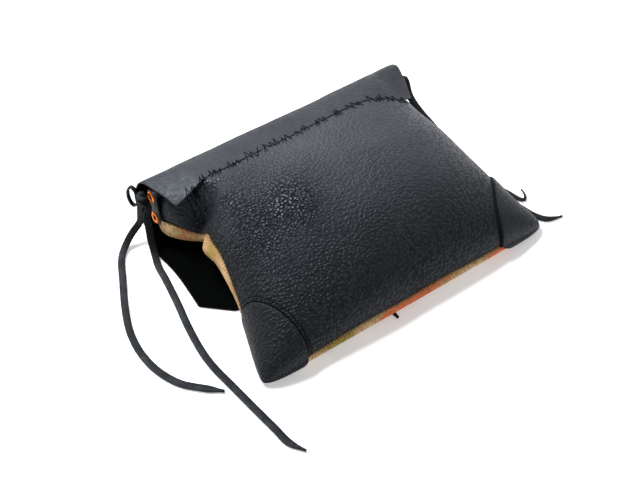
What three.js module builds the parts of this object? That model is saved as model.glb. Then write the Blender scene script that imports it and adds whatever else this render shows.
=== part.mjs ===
// A soft leather shoulder bag that lies on its front, with its flap folded over the mouth and under it.
// Millimetres. +X runs across the bag, +Y from its bottom edge to its mouth, +Z up out of its back.
import * as THREE from 'three';

// Pouch outline in plan
const bottomWidth = 330;
const waistLeft = 123;
const waistRight = 139;
const mouthWidth = 288;
const pouchHeight = 226;
const waistFromMouth = 72;
const crestFromMouth = 102;
const tipRounding = 6;

// Pouch heights above the surface that it lies on
const crestHeight = 80;
const mouthBackHeight = 58.5;
const mouthOpening = 34;
const seamHeightCorner = 4.5;
const seamHeightBottom = 14;
const seamHeightSide = 40;
const seamHeightMouth = 29;
const seamLowRun = 20;
const bellyDepth = 12;
const sideSwell = 9;
const bottomSwell = 5;
const drapeFromMouth = 64;
const bedMargin = 20;

// Leather and clearances
const panelLeather = 2;
const flapLeather = 2.2;
const patchLeather = 1.6;
const tabLeather = 2;
const gap = 0.3;
const lidGap = 0.7;
const patchGap = 0.7;

// Flap
const stripWidth = 32;
const stripTaper = 14;
const foldOverhang = 4;
const flapEndWidth = 324;
const flapStraightWidth = 272;
const flapEndFromBottom = 86;
const flapCornerCut = 25;
const foldReach = 11;
const foldEndSlope = 0.05;
const stripEndSlope = 0.3;
const lidFreeEnd = 17;

// Thread of the sewn strip
const threadDiameter = 1;
const threadBand = 3;
const stitchPitch = 7;
const stitchOnStrip = 5;
const stitchOnBack = 4.5;

// Corner patches
const patchAlongBottom = 54;
const patchAlongSide = 69;
const patchFrontShare = 0.5;
const patchArc = 1.6;

// Side tabs and eyelets
const tabWidth = 15;
const tabHeight = 35;
const tabFromMouth = 14;
const tabBelowMouth = 2.5;
const tabTilt = THREE.MathUtils.degToRad(4);
const tabLean = THREE.MathUtils.degToRad(16);
const eyeletSpacing = 22;
const eyeletHole = 5.6;
const eyeletBarrel = 7.4;
const eyeletFlange = 12.4;
const flangeHeight = 0.9;

// Laces
const laceWidth = 7;
const laceThickness = 2.2;
const knotDiameter = 11.5;
const loopWidth = 15;
const loopHeight = 32;
const loopTube = 3.4;
const loopTurn = THREE.MathUtils.degToRad(58);
const tieOffset = -21;
const tieLength = 91;

// Places that follow from the sizes
const patchReach = patchGap + patchLeather;
const foldOut = foldReach + flapLeather / 2;
const bottomReach = patchReach + bottomSwell / 2;
const bottomY = -(pouchHeight + foldOut - bottomReach) / 2;
const mouthY = bottomY + pouchHeight;
const waistY = mouthY - waistFromMouth;
const crestY = mouthY - crestFromMouth;
const drapeY = mouthY - drapeFromMouth;
const stripY = mouthY - stripWidth;
const flapEndY = bottomY + flapEndFromBottom;
const foldWidth = mouthWidth + 2 * foldOverhang;
const stripLowerWidth = foldWidth - 2 * stripTaper;
const mouthFrontHeight = mouthBackHeight - mouthOpening - 2 * panelLeather;
const flapBed = flapLeather + 4 * gap;
const tabY = mouthY - tabFromMouth;
const tabFoot = tabY - tabWidth / 2;
const tabZ = mouthBackHeight - tabBelowMouth - tabHeight / 2;
const flangeTop = tabLeather / 2 + gap + flangeHeight;
const tabX = mouthWidth / 2 + 2 * gap + flangeTop - Math.sin(tabTilt) * eyeletSpacing / 2;
const laceLevel = laceThickness / 2 + gap;
const laceLane = laceWidth + 4 * gap;
const sideReach = Math.max(bottomWidth / 2 + patchReach, flapEndWidth / 2);

// Directions of the right tab, up its length and out of its face, the place of the knot against it, and
// the direction that the loop hangs in from there
const tabUp = new THREE.Vector3(0, 0, 1).applyEuler(new THREE.Euler(-tabLean, -tabTilt, 0));
const tabOut = new THREE.Vector3(1, 0, 0).applyEuler(new THREE.Euler(-tabLean, -tabTilt, 0));
const tabAcross = new THREE.Vector3().crossVectors(tabUp, tabOut);
const knotReach = knotDiameter / 2 + gap;
const knot = new THREE.Vector3(tabX, tabY, tabZ);
knot.addScaledVector(tabUp, eyeletSpacing / 2);
knot.addScaledVector(tabAcross, eyeletFlange / 2);
knot.addScaledVector(tabOut, flangeTop + knotReach);
const loopHang = new THREE.Vector3(0.25, 0.55, -0.8).normalize();

const { lerp, smoothstep, clamp } = THREE.MathUtils;

// Outline and profiles of the pouch
function aboveWaist(y) {
  return smoothstep(y, waistY, waistY + 0.7 * waistFromMouth);
}

// The waist is pinched deeper on the left, where the side is folded in
function halfWidth(y, handed) {
  const waist = handed < 0 ? waistLeft : waistRight;
  const below = Math.max(0, (waistY - y) / (waistY - bottomY));
  const towardBottom = (bottomWidth / 2 - waist) * below ** 1.45;
  return waist + towardBottom + (mouthWidth / 2 - waist) * aboveWaist(y);
}

function seamHeight(u, y) {
  const bottom = lerp(seamHeightBottom, seamHeightCorner, Math.abs(u) ** 4);
  const rise = lerp(bottom, seamHeightSide, smoothstep(y, bottomY + seamLowRun, waistY));
  return lerp(rise, seamHeightMouth, aboveWaist(y));
}

// Share of the way from the crest up to the mouth
function aboveCrest(y) {
  return Math.max(0, (y - crestY) / crestFromMouth);
}

function backPeak(y) {
  return lerp(crestHeight, mouthBackHeight, aboveCrest(y) ** 1.6);
}

function frontLow(y) {
  const towardMouth = Math.max(0, (y - drapeY) / (mouthY - drapeY));
  return lerp(-bellyDepth, mouthFrontHeight, towardMouth ** 1.2);
}

// Share of the way from the crest down to the bottom edge
function fromCrest(y) {
  return Math.max(0, (crestY - y) / (crestY - bottomY));
}

// Share of the full height at a place across and along the pouch: 0 at the seams, 1 on the crest
function fullness(side, u, y) {
  const flatness = lerp(2.6, 14, aboveCrest(y) ** 2.5);
  const across = Math.sqrt(Math.max(0, 1 - Math.abs(u) ** flatness));
  const endFlatness = side > 0 ? 1.6 : 5;
  return across * Math.sqrt(Math.max(0, 1 - fromCrest(y) ** endFlatness));
}

// How far the front stands out past the seams on its way down: 0 at the seam and under the belly
function swelling(full) {
  return Math.sin(Math.PI * Math.min(1, 1.6 * full));
}

function sideSwellAt(y) {
  const along = smoothstep(y, bottomY + patchAlongSide / 2, waistY) * (1 - smoothstep(y, waistY, tabFoot));
  return sideSwell * along;
}

// Height that the front keeps over the flap and its tie, which lie under it
function bedUnderFront(x, y) {
  const overFlap = smoothstep(y, flapEndY - 2 * bedMargin, flapEndY - bedMargin);
  const tieBed = laceWidth / 2 + bedMargin;
  const overTie = 1 - smoothstep(Math.abs(x - tieOffset), tieBed, tieBed + bedMargin);
  return flapBed * Math.max(overFlap, overTie);
}

// A point of the pouch's skin, grown outward by grow; side is 1 on the back and -1 on the front
function skinPoint(side, u, y, grow) {
  const lower = fromCrest(y);
  const tip = tipRounding * Math.abs(u) ** 12 * lower ** 12;
  const x = (halfWidth(y, u) + grow) * u - Math.sign(u) * tip;
  const grownY = y - grow * lower + tip;
  const seam = seamHeight(u, y);
  const full = fullness(side, u, y);
  if (side > 0) {
    return new THREE.Vector3(x, grownY, seam + gap / 2 + (backPeak(y) - seam + grow) * full);
  }
  const belly = seam - gap / 2 - (seam - frontLow(y) + grow) * full;
  const bed = Math.max(0, bedUnderFront(x, y) - grow);
  const out = bottomSwell * lower ** 6 * swelling(full);
  const swell = sideSwellAt(y) * Math.sign(u) * swelling(full);
  return new THREE.Vector3(x + swell, grownY - out, Math.max(belly, bed));
}

function backHeight(x, y) {
  return skinPoint(1, clamp(x / halfWidth(y, x), -1, 1), y, 0).z;
}

// Moves every vertex of a geometry to the point that place returns for it
function reshape(geometry, place) {
  const position = geometry.attributes.position;
  const vertex = new THREE.Vector3();
  for (let i = 0; i < position.count; i += 1) {
    vertex.fromBufferAttribute(position, i);
    const moved = place(vertex);
    position.setXYZ(i, moved.x, moved.y, moved.z);
  }
  geometry.computeVertexNormals();
  return geometry;
}

// A shape that was made on the other hand, with its faces turned back outwards
function turnedOutwards(geometry) {
  const index = geometry.index;
  for (let i = 0; i < index.count; i += 3) {
    const second = index.getX(i + 1);
    index.setX(i + 1, index.getX(i + 2));
    index.setX(i + 2, second);
  }
  geometry.computeVertexNormals();
  return geometry;
}

function named(name, geometry, material) {
  const mesh = new THREE.Mesh(geometry, material);
  mesh.name = name;
  return mesh;
}

// Rows of a panel stand closer together near the bottom edge, where it curves most
function rowToY(row) {
  const rowsBelow = 0.55;
  if (row < rowsBelow) {
    return crestY - (crestY - bottomY) * Math.sin(Math.PI / 2 * (1 - row / rowsBelow));
  }
  return lerp(crestY, mouthY, (row - rowsBelow) / (1 - rowsBelow));
}

function panelGeometry(side) {
  const columns = 24;
  const rows = 18;
  const block = new THREE.BoxGeometry(2, 1, 1, columns, rows, 1);
  return reshape(block, (vertex) => {
    const u = Math.sin(Math.PI / 2 * vertex.x);
    const outside = vertex.z * side > 0;
    return skinPoint(side, u, rowToY(vertex.y + 0.5), outside ? 0 : -panelLeather);
  });
}

// Middle line of the flap's leather from the sewn edge, round the mouth and down to the flap's lower edge
function flapMiddleLine() {
  const overBack = lidGap + flapLeather / 2;
  const underFront = gap + flapLeather / 2;
  const foldRise = (mouthBackHeight - mouthFrontHeight) / 2 + overBack;
  const foldCentre = (mouthBackHeight + mouthFrontHeight) / 2;
  const points = [];
  for (const share of [1, 0.75, 0.5, 0.25, 0]) {
    const y = mouthY - stripWidth * share;
    points.push(new THREE.Vector3(0, y, backPeak(y) + overBack * 1.1));
  }
  for (const angle of [60, 30, 0, -30, -60]) {
    const turn = THREE.MathUtils.degToRad(angle);
    const z = foldCentre + foldRise * Math.sin(turn);
    points.push(new THREE.Vector3(0, mouthY + foldReach * Math.cos(turn), z));
  }
  for (const share of [0.12, 0.3, 0.5, 0.6, 0.7, 0.85]) {
    const y = mouthY - drapeFromMouth * share;
    const z = Math.max(frontLow(y), flapBed) - underFront * 2;
    points.push(new THREE.Vector3(0, y, Math.max(z, flapLeather / 2)));
  }
  const flatFrom = mouthY - 1.06 * drapeFromMouth;
  for (const share of [0, 0.25, 0.5, 0.75, 1]) {
    points.push(new THREE.Vector3(0, lerp(flatFrom, flapEndY, share), flapLeather / 2));
  }
  const line = new THREE.CatmullRomCurve3(points, false, 'centripetal');
  line.arcLengthDivisions = 800;
  return line;
}

const flapLine = flapMiddleLine();
const flapLength = flapLine.getLength();

// Length along the middle line at which the flap leaves its sewn strip: the outermost place of the fold
function findFold() {
  const steps = 800;
  let best = 0;
  for (let i = 0; i <= steps; i += 1) {
    if (flapLine.getPointAt(i / steps).y > flapLine.getPointAt(best / steps).y) {
      best = i;
    }
  }
  return flapLength * best / steps;
}

const foldAt = findFold();

// How far the sheet sinks towards its ends, where it follows the back's rounding
function endDroop(x, y) {
  const held = halfWidth(Math.min(y, mouthY), x) - lidFreeEnd;
  const beyond = Math.max(0, Math.abs(x) - held);
  const atY = clamp(y, stripY, mouthY);
  const slope = lerp(stripEndSlope, foldEndSlope, (atY - stripY) / stripWidth);
  return backHeight(0, atY) - backHeight(clamp(x, -held, held), atY) + beyond * slope;
}

function sheetPoint(x, along, outward) {
  const share = clamp(along / flapLength, 0, 1);
  const middle = flapLine.getPointAt(share);
  const tangent = flapLine.getTangentAt(share);
  const y = middle.y - tangent.z * outward;
  const z = middle.z + tangent.y * outward;
  const fade = 1 - smoothstep(along, foldAt, foldAt + drapeFromMouth);
  const sunk = Math.min(endDroop(x, middle.y) * fade, middle.z - flapLeather / 2);
  return new THREE.Vector3(x, y, z - sunk);
}

function stripGeometry() {
  const block = new THREE.BoxGeometry(2, 1, 1, 24, 8, 1);
  return reshape(block, (vertex) => {
    const share = vertex.y + 0.5;
    const half = lerp(stripLowerWidth, foldWidth, share) / 2;
    return sheetPoint(half * vertex.x, share * (foldAt - gap / 2), vertex.z * flapLeather);
  });
}

function flapGeometry() {
  const block = new THREE.BoxGeometry(2, 1, 1, 22, 15, 1);
  const start = foldAt + gap / 2;
  return reshape(block, (vertex) => {
    const share = vertex.y + 0.5;
    const half = lerp(foldWidth, flapEndWidth, share ** 2) / 2;
    const x = half * vertex.x;
    const atCorner = Math.abs(x) - flapStraightWidth / 2;
    const cut = flapCornerCut * clamp(2 * atCorner / (flapEndWidth - flapStraightWidth), 0, 1);
    return sheetPoint(x, lerp(start, flapLength - cut, share ** 1.5), vertex.z * flapLeather);
  });
}

// One thread that crosses the strip's edge from side to side in zigzags: a bar with a turn at each column,
// which lies on the strip, past its edge, on the back and past the edge again.
function stitchingGeometry() {
  const turnPitch = stitchPitch / 4;
  const rise = 3 * gap;
  const pastEdge = -2 * rise;
  const levels = [stitchOnStrip, pastEdge, -stitchOnBack, pastEdge];
  const reach = Math.min(halfWidth(stripY, -1), halfWidth(stripY, 1)) - lidFreeEnd;
  const count = Math.floor(reach / turnPitch);
  const bar = new THREE.BoxGeometry(2 * count, threadBand, threadDiameter, 2 * count, 1, 1);
  return reshape(bar, (vertex) => {
    const turn = (Math.round(vertex.x) + count) % levels.length;
    const x = vertex.x * turnPitch;
    const over = levels[turn] + vertex.y;
    const onBack = backHeight(x, stripY + over) + gap;
    const onStrip = sheetPoint(x, Math.max(0, over), flapLeather / 2).z;
    const bed = levels[turn] < pastEdge ? onBack : onStrip;
    return new THREE.Vector3(x, stripY + over, bed + rise + threadDiameter / 2 + vertex.z);
  });
}

// A patch wraps the corner like a cone: turn goes from the bottom seam over the back to the side and
// back under the front, and reach from the tip to the patch's edge
function patchGeometry(handed) {
  const profile = [];
  const steps = 8;
  const closedTurn = 1e-6;
  for (let i = 0; i <= steps; i += 1) {
    profile.push(new THREE.Vector2(i / steps, 1));
  }
  for (let i = steps; i >= 0; i -= 1) {
    profile.push(new THREE.Vector2(i / steps, 0));
  }
  const cone = new THREE.LatheGeometry(profile, 32);
  reshape(cone, (vertex) => {
    const reach = Math.hypot(vertex.x, vertex.z);
    const turn = reach > 0 ? Math.atan2(vertex.x, vertex.z) : 0;
    const side = turn > -closedTurn ? 1 : -1;
    const angle = Math.PI / 2 * smoothstep(Math.abs(turn), 0, Math.PI);
    const underShare = side > 0 ? 1 : lerp(1, patchFrontShare, Math.sin(2 * angle));
    const y = bottomY + patchAlongSide * reach * underShare * Math.sin(angle) ** patchArc;
    const inward = patchAlongBottom * reach * underShare * Math.cos(angle) ** patchArc;
    const u = handed * (1 - inward / halfWidth(y, handed));
    return skinPoint(side, u, y, vertex.y > 0.5 ? patchReach : patchGap);
  });
  return handed > 0 ? cone : turnedOutwards(cone);
}

// The tab's plate lies in its own XY plane and faces +Z there
function tabGeometry() {
  const corner = 3;
  const w = tabWidth / 2;
  const h = tabHeight / 2;
  const plate = new THREE.Shape();
  plate.moveTo(-w + corner, -h);
  plate.lineTo(w - corner, -h);
  plate.absarc(w - corner, -h + corner, corner, -Math.PI / 2, 0);
  plate.lineTo(w, h - corner);
  plate.absarc(w - corner, h - corner, corner, 0, Math.PI / 2);
  plate.lineTo(-w + corner, h);
  plate.absarc(-w + corner, h - corner, corner, Math.PI / 2, Math.PI);
  plate.lineTo(-w, -h + corner);
  plate.absarc(-w + corner, -h + corner, corner, Math.PI, 1.5 * Math.PI);
  for (const at of [-1, 1]) {
    const hole = new THREE.Path();
    hole.absarc(0, at * eyeletSpacing / 2, eyeletBarrel / 2 + gap, 0, 2 * Math.PI);
    plate.holes.push(hole);
  }
  const leather = { depth: tabLeather, bevelEnabled: false, curveSegments: 6 };
  return new THREE.ExtrudeGeometry(plate, leather).translate(0, 0, -tabLeather / 2);
}

function eyeletGeometry() {
  const bore = eyeletHole / 2;
  const barrel = eyeletBarrel / 2;
  const flange = eyeletFlange / 2;
  const seat = tabLeather / 2 + gap;
  const top = seat + flangeHeight;
  const rim = new THREE.Vector2(flange - flangeHeight / 2, top);
  const profile = [
    new THREE.Vector2(bore, -top),
    new THREE.Vector2(flange - flangeHeight / 2, -top),
    new THREE.Vector2(flange, -seat),
    new THREE.Vector2(barrel, -seat),
    new THREE.Vector2(barrel, seat),
    new THREE.Vector2(flange, seat),
    rim,
    new THREE.Vector2(bore + flangeHeight / 2, top),
    new THREE.Vector2(bore, seat),
    new THREE.Vector2(bore, -top),
  ];
  return new THREE.LatheGeometry(profile, 20).rotateX(Math.PI / 2);
}

// A tab with its two eyelets, which faces out of the end of the mouth and leans towards it at its top
function sideTab(handed, label) {
  const tab = new THREE.Group();
  tab.add(named(`side_tab_${label}`, tabGeometry(), flapMaterial));
  for (const [at, level] of [[1, 'upper'], [-1, 'lower']]) {
    const eyelet = named(`eyelet_${label}_${level}`, eyeletGeometry(), copperMaterial);
    eyelet.position.y = at * eyeletSpacing / 2;
    tab.add(eyelet);
  }
  const hand = new THREE.Vector3(handed, 1, 1);
  const up = tabUp.clone().multiply(hand);
  const out = tabOut.clone().multiply(hand);
  const across = new THREE.Vector3().crossVectors(up, out);
  tab.quaternion.setFromRotationMatrix(new THREE.Matrix4().makeBasis(across, up, out));
  tab.position.set(handed * tabX, tabY, tabZ);
  return tab;
}

// A flat lace along its route
function laceGeometry(route) {
  const t = laceThickness / 2;
  const w = laceWidth / 2;
  const corner = laceThickness / 4;
  const section = new THREE.Shape([
    new THREE.Vector2(t, -w + corner),
    new THREE.Vector2(t, w - corner),
    new THREE.Vector2(t - corner, w),
    new THREE.Vector2(-t + corner, w),
    new THREE.Vector2(-t, w - corner),
    new THREE.Vector2(-t, -w + corner),
    new THREE.Vector2(-t + corner, -w),
    new THREE.Vector2(t - corner, -w),
  ]);
  const path = new THREE.CatmullRomCurve3(route, false, 'centripetal');
  const stepLength = 2 * laceWidth;
  const steps = Math.ceil(path.getLength() / stepLength);
  return new THREE.ExtrudeGeometry(section, { steps, extrudePath: path });
}

// The knot of a lace against its tab, and the loop that stands beside the left knot and hangs from the right
function lacedKnot(handed, label) {
  const tied = new THREE.Group();
  const ball = new THREE.SphereGeometry(knotDiameter / 2, 14, 10);
  tied.add(named(`lace_knot_${label}`, ball, laceMaterial));
  const ring = (loopWidth - loopTube) / 2;
  const stretch = loopHeight / loopWidth;
  const loop = new THREE.TorusGeometry(ring, loopTube / 2, 8, 20).rotateX(Math.PI / 2).scale(1, 1, stretch);
  const ringMesh = named(`lace_loop_${label}`, loop, laceMaterial);
  const upright = new THREE.Vector3(0, 0, 1);
  if (handed < 0) {
    ringMesh.rotation.z = Math.PI - loopTurn;
    ringMesh.translateX(knotReach + loopWidth / 2);
  } else {
    ringMesh.quaternion.setFromUnitVectors(upright, loopHang);
    ringMesh.translateZ(knotReach + loopHeight / 2);
  }
  tied.add(ringMesh);
  tied.position.set(handed * knot.x, knot.y, knot.z);
  return tied;
}

// Laces' free ends from tip to knot. Where they lie, points give the distance out from the bag's side, y
// and the height over the floor; where they hang, the distances out from the knot and down the bag, and
// the share of the knot's height. They leave the knot in the direction that leaving gives, and lane says
// which of the two keeps nearer the bag.
const lacePlaces = {
  left_tail_outer: {
    handed: -1,
    lane: 1,
    lying: [
      [25, -99, 0], [39, -85, 0], [52, -70, 0], [61, -47, 0], [63.5, -22, 0], [60, 4, 0], [50, 32, 0],
      [36, 62, 0], [23, 88, 0.3], [13.5, 97.5, 2.6],
    ],
    hanging: [[18.6, 3, 0.21], [12, 2.2, 0.32], [6.5, 2.8, 0.46], [6.5, 1.8, 0.62]],
    leaving: [0.85, -0.05, -0.5],
  },
  left_tail_inner: {
    handed: -1,
    lane: 0,
    lying: [
      [2, -188, 0], [9, -174, 0], [11, -155, 0], [13.7, -130, 0], [16.7, -99, 0], [19.2, -72, 0],
      [18.7, -51, 0], [14.2, -20, 0], [7.7, 11, 0], [2.2, 42, 0], [0.2, 58, 1.8],
    ],
    hanging: [[10, 33, 0.15], [7, 22.5, 0.33], [4, 15, 0.53], [2, 10, 0.72]],
    leaving: [-0.15, -0.75, -0.65],
  },
  right_tail_inner: {
    handed: 1,
    lane: 0,
    lying: [
      [23.2, -115, 0], [14.7, -112.5, 0], [6.7, -108, 0], [0.7, -97, 0], [-2.8, -80, 0], [-8, -60, 0],
      [-13, -45, 0], [-15, -32, 2], [-14.8, -16, 3.4], [-14.8, -4, 4.2], [-15.3, 12, 5.6],
      [-14.3, 28, 10.8],
    ],
    hanging: [[0.8, 58.6, 0.45], [0.4, 38.6, 0.61], [0.6, 18, 0.76]],
    leaving: [-0.15, -0.75, -0.65],
  },
  right_tail_outer: {
    handed: 1,
    lane: 1,
    lying: [
      [15.7, -64, 0], [13.2, -72, 0], [8, -76.5, 0], [4.2, -71.5, 0], [0.4, -58, 0],
      [-3.8, -46, 0.6], [-5.8, -30, 3], [-5.8, -5, 3.2], [-5.3, 14, 3.4], [-5.3, 31, 5.6],
    ],
    hanging: [[6, 54.6, 0.31], [6.5, 34, 0.46], [7.5, 14, 0.62]],
    leaving: [0.85, -0.05, -0.5],
  },
};

function tailRoute({ handed, lane, lying, hanging, leaving }) {
  const laneReach = panelLeather + (lane + 0.5) * laceLane;
  const beside = (y) => (y < bottomY ? 0 : halfWidth(y, handed) + laneReach);
  const floored = ([out, y, over]) => (
    new THREE.Vector3(Math.max(sideReach + out, beside(y)), y, laceLevel + over)
  );
  const hung = ([out, down, level]) => {
    const y = knot.y - down;
    return new THREE.Vector3(Math.max(knot.x + out, beside(y) + sideSwellAt(y)), y, knot.z * level);
  };
  const away = new THREE.Vector3(...leaving).normalize();
  const held = [2, 1].map((share) => knot.clone().addScaledVector(away, knotReach * share));
  const route = [...lying.map(floored), ...hanging.map(hung), ...held];
  return route.map((point) => point.multiply(new THREE.Vector3(handed, 1, 1)));
}

function tieRoute() {
  const start = flapEndY - gap;
  return [1, 0.5, 0].map((share) => new THREE.Vector3(tieOffset, start - tieLength * share, laceLevel));
}

function leatherMaterial(colour, roughness) {
  return new THREE.MeshStandardMaterial({ color: colour, roughness, metalness: 0 });
}

const backMaterial = leatherMaterial('#26272a', 0.5);
const flapMaterial = leatherMaterial('#3d3c43', 0.6);
const patchMaterial = leatherMaterial('#23252a', 0.5);
const paintedMaterial = leatherMaterial('#d9b98a', 0.7);
const laceMaterial = leatherMaterial('#232327', 0.55);
const threadMaterial = leatherMaterial('#151517', 0.8);
const copperMaterial = new THREE.MeshStandardMaterial({ color: '#d97a35', roughness: 0.3, metalness: 1 });

const bag = new THREE.Group();
bag.name = 'shoulder_bag';
bag.add(named('back_panel', panelGeometry(1), backMaterial));
bag.add(named('front_panel', panelGeometry(-1), paintedMaterial));
bag.add(named('flap_back_strip', stripGeometry(), flapMaterial));
bag.add(named('flap', flapGeometry(), flapMaterial));
bag.add(named('flap_stitching', stitchingGeometry(), threadMaterial));
for (const [handed, label] of [[-1, 'left'], [1, 'right']]) {
  bag.add(named(`corner_patch_${label}`, patchGeometry(handed), patchMaterial));
  bag.add(sideTab(handed, label));
  bag.add(lacedKnot(handed, label));
}
for (const [label, places] of Object.entries(lacePlaces)) {
  bag.add(named(`lace_${label}`, laceGeometry(tailRoute(places)), laceMaterial));
}
bag.add(named('flap_tie', laceGeometry(tieRoute()), laceMaterial));

export default bag;
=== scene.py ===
import math
import random

import bmesh
import bpy
from mathutils import Matrix, Vector, noise
from mathutils.geometry import interpolate_bezier


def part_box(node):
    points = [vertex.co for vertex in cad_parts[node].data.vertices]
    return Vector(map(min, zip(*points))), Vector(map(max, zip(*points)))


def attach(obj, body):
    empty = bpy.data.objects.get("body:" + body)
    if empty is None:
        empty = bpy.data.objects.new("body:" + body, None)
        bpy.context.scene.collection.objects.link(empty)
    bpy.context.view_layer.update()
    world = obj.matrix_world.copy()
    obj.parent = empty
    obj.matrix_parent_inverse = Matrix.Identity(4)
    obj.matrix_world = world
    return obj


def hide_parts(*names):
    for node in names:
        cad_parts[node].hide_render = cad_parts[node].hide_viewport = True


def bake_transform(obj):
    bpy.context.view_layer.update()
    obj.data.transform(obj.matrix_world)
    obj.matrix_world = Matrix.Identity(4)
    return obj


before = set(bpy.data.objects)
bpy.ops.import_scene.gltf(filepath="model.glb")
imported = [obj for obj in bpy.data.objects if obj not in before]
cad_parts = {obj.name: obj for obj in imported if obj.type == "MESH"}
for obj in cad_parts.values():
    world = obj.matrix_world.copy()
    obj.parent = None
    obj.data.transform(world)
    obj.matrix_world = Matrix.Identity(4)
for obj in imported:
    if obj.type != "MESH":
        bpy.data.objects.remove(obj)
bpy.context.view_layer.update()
mm = 0.001  # sizes of the bag are millimetres, meshes are metres
scene = bpy.context.scene
print("frame loaded:", len(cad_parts), "nodes")


# camera at the photograph's angle
camera = {
    "lookAt": (-22.2, -1.4, 0),
    "azimuth": 324.5,
    "elevation": 47.1,
    "distance": 1066,
    "lens": 61.9,
}


def addCamera(view):
    turn = math.radians(view["azimuth"])
    rise = math.radians(view["elevation"])
    back = Vector((math.sin(turn) * math.cos(rise), -math.cos(turn) * math.cos(rise), math.sin(rise)))
    data = bpy.data.cameras.new("photoCamera")
    data.lens = view["lens"]
    eye = bpy.data.objects.new("photoCamera", data)
    eye.location = (Vector(view["lookAt"]) + back * view["distance"]) * mm
    eye.rotation_euler = back.to_track_quat("Z", "Y").to_euler()
    scene.collection.objects.link(eye)
    scene.camera = eye


addCamera(camera)
print("camera set")


# small helpers for shapes

def lerp(low, high, share):
    return low + (high - low) * share


def smoothStep(value, low, high):
    share = min(1, max(0, (value - low) / (high - low)))
    return share * share * (3 - 2 * share)


def curveThrough(points, fineness=12):
    # centripetal curve through the points, finely divided
    ends = [2 * points[0] - points[1], *points, 2 * points[-1] - points[-2]]
    line = []
    for p0, p1, p2, p3 in zip(ends, ends[1:], ends[2:], ends[3:]):
        d0 = math.sqrt((p1 - p0).length)
        d1 = math.sqrt((p2 - p1).length)
        d2 = math.sqrt((p3 - p2).length)
        leave = ((p1 - p0) / d0 - (p2 - p0) / (d0 + d1) + (p2 - p1) / d1) * d1
        arrive = ((p2 - p1) / d1 - (p3 - p1) / (d1 + d2) + (p3 - p2) / d2) * d1
        line += interpolate_bezier(p1, p1 + leave / 3, p2 - arrive / 3, p2, fineness + 1)[:-1]
    return line + [points[-1]]


def evenly(line, spacing):
    # the same line with its points at even distances
    lengths = [0]
    for a, b in zip(line, line[1:]):
        lengths.append(lengths[-1] + (b - a).length)
    count = max(2, round(lengths[-1] / spacing))
    even = []
    i = 0
    for k in range(count + 1):
        goal = lengths[-1] * k / count
        while i < len(line) - 2 and lengths[i + 1] < goal:
            i += 1
        even.append(line[i].lerp(line[i + 1], (goal - lengths[i]) / (lengths[i + 1] - lengths[i])))
    return even


def lineLength(line):
    return sum((b - a).length for a, b in zip(line, line[1:]))


def nodeCentre(node):
    low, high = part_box(node)
    return (low + high) / 2 / mm


sortAxis = Vector((0.7311, 0.5113, 0.4517))


def makePiece(name, bm, *materials, sharpAngle=50):
    # the operators leave points and faces in no fixed order, so each run sorts them the same way
    bm.verts.sort(key=lambda vert: vert.co.dot(sortAxis))
    bm.faces.sort(key=lambda face: face.calc_center_median().dot(sortAxis))
    mesh = bpy.data.meshes.new(name)
    bm.to_mesh(mesh)
    bm.free()
    mesh.shade_smooth()
    mesh.set_sharp_from_angle(angle=math.radians(sharpAngle))
    for material in materials:
        mesh.materials.append(material)
    piece = bpy.data.objects.new(name, mesh)
    scene.collection.objects.link(piece)
    return piece


def thicken(piece, thickness, offset, innerSlot=0):
    wall = piece.modifiers.new("leather", "SOLIDIFY")
    wall.thickness = thickness * mm
    wall.offset = offset
    wall.use_even_offset = False
    wall.material_offset = innerSlot
    wall.material_offset_rim = innerSlot


def roundOff(piece, levels=1):
    smooth = piece.modifiers.new("smooth", "SUBSURF")
    smooth.levels = levels
    smooth.render_levels = levels


# small helpers for materials

def newMaterial(name):
    material = bpy.data.materials.new(name)
    material.use_nodes = True
    tree = material.node_tree
    shader = tree.nodes["Principled BSDF"]
    return material, tree, shader


def plug(tree, socket, value):
    # a socket takes another node's output or a plain value
    if isinstance(value, bpy.types.NodeSocket):
        tree.links.new(value, socket)
    else:
        socket.default_value = value


def addNode(tree, kind, settings=None, **sockets):
    node = tree.nodes.new(kind)
    for key, value in (settings or {}).items():
        setattr(node, key, value)
    for key, value in sockets.items():
        plug(tree, node.inputs[key], value)
    return node


def dress(tree, shader, looks):
    for key, value in looks.items():
        plug(tree, shader.inputs[key], value)


def addMath(tree, operation, a, b, clamp=False):
    node = addNode(tree, "ShaderNodeMath", {"operation": operation, "use_clamp": clamp})
    for socket, value in zip(node.inputs, (a, b)):
        plug(tree, socket, value)
    return node.outputs["Value"]


def times(tree, a, b, clamp=False):
    return addMath(tree, "MULTIPLY", a, b, clamp)


def plus(tree, a, b, clamp=False):
    return addMath(tree, "ADD", a, b, clamp)


def addVectorMath(tree, operation, a, b):
    node = addNode(tree, "ShaderNodeVectorMath", {"operation": operation})
    for socket, value in zip(node.inputs, (a, b)):
        plug(tree, socket, value)
    return node


def addRamp(tree, factor, stops):
    node = tree.nodes.new("ShaderNodeValToRGB")
    tree.links.new(factor, node.inputs["Fac"])
    marks = node.color_ramp.elements
    while len(marks) < len(stops):
        marks.new(0.5)
    for mark, (place, colour) in zip(marks, stops):
        mark.position = place
        mark.color = (*colour, 1) if hasattr(colour, "__len__") else (colour, colour, colour, 1)
    return node.outputs["Color"]


def addRange(tree, value, low, high, toLow, toHigh):
    node = addNode(tree, "ShaderNodeMapRange", {"interpolation_type": "SMOOTHSTEP"}, Value=value)
    for key, number in (("From Min", low), ("From Max", high), ("To Min", toLow), ("To Max", toHigh)):
        node.inputs[key].default_value = number
    return node.outputs["Result"]


def addNoise(tree, place, size, detail):
    scale = 1 / (size * mm)
    return addNode(tree, "ShaderNodeTexNoise", Vector=place, Scale=scale, Detail=detail).outputs["Fac"]


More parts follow.
